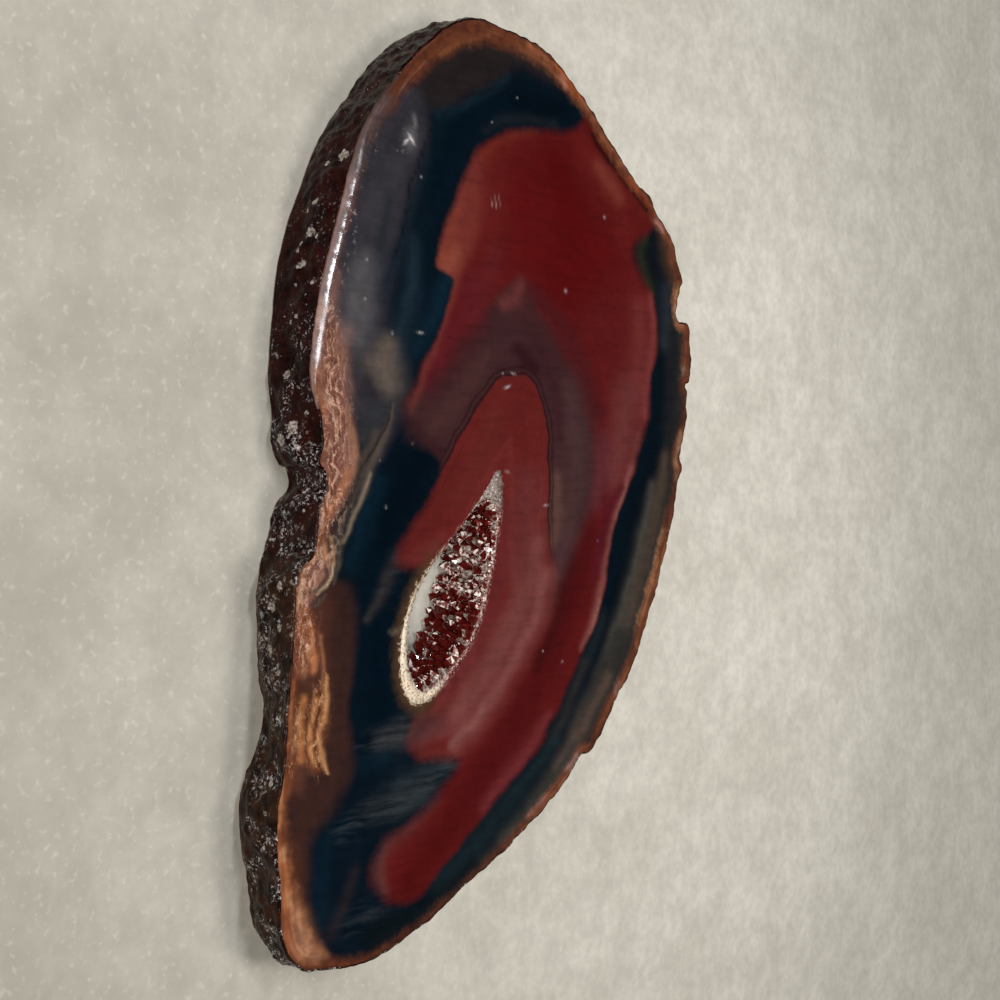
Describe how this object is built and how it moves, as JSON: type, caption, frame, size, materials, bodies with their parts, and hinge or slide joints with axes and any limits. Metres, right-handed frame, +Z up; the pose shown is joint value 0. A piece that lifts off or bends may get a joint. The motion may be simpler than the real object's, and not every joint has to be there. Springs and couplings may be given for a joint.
{
  "type": "agate slice",
  "caption": "Flat polished slab of dyed banded agate with a rough natural rind, sawn through a small crystal-lined hollow.",
  "frame": {"origin": "on the underside, under the middle of the slice's box", "axes": "+X along the length, towards the end with the hollow; +Z up out of the polished face; +Y away from the side with the notch"},
  "size_m": [0.0828, 0.0544, 0.006],
  "materials": {
    "agate": "polished",
    "quartz": "gloss"
  },
  "bodies": {
    "root": {"agate_slice": "agate", "crystal_crust": "quartz"}
  },
  "joints": []
}
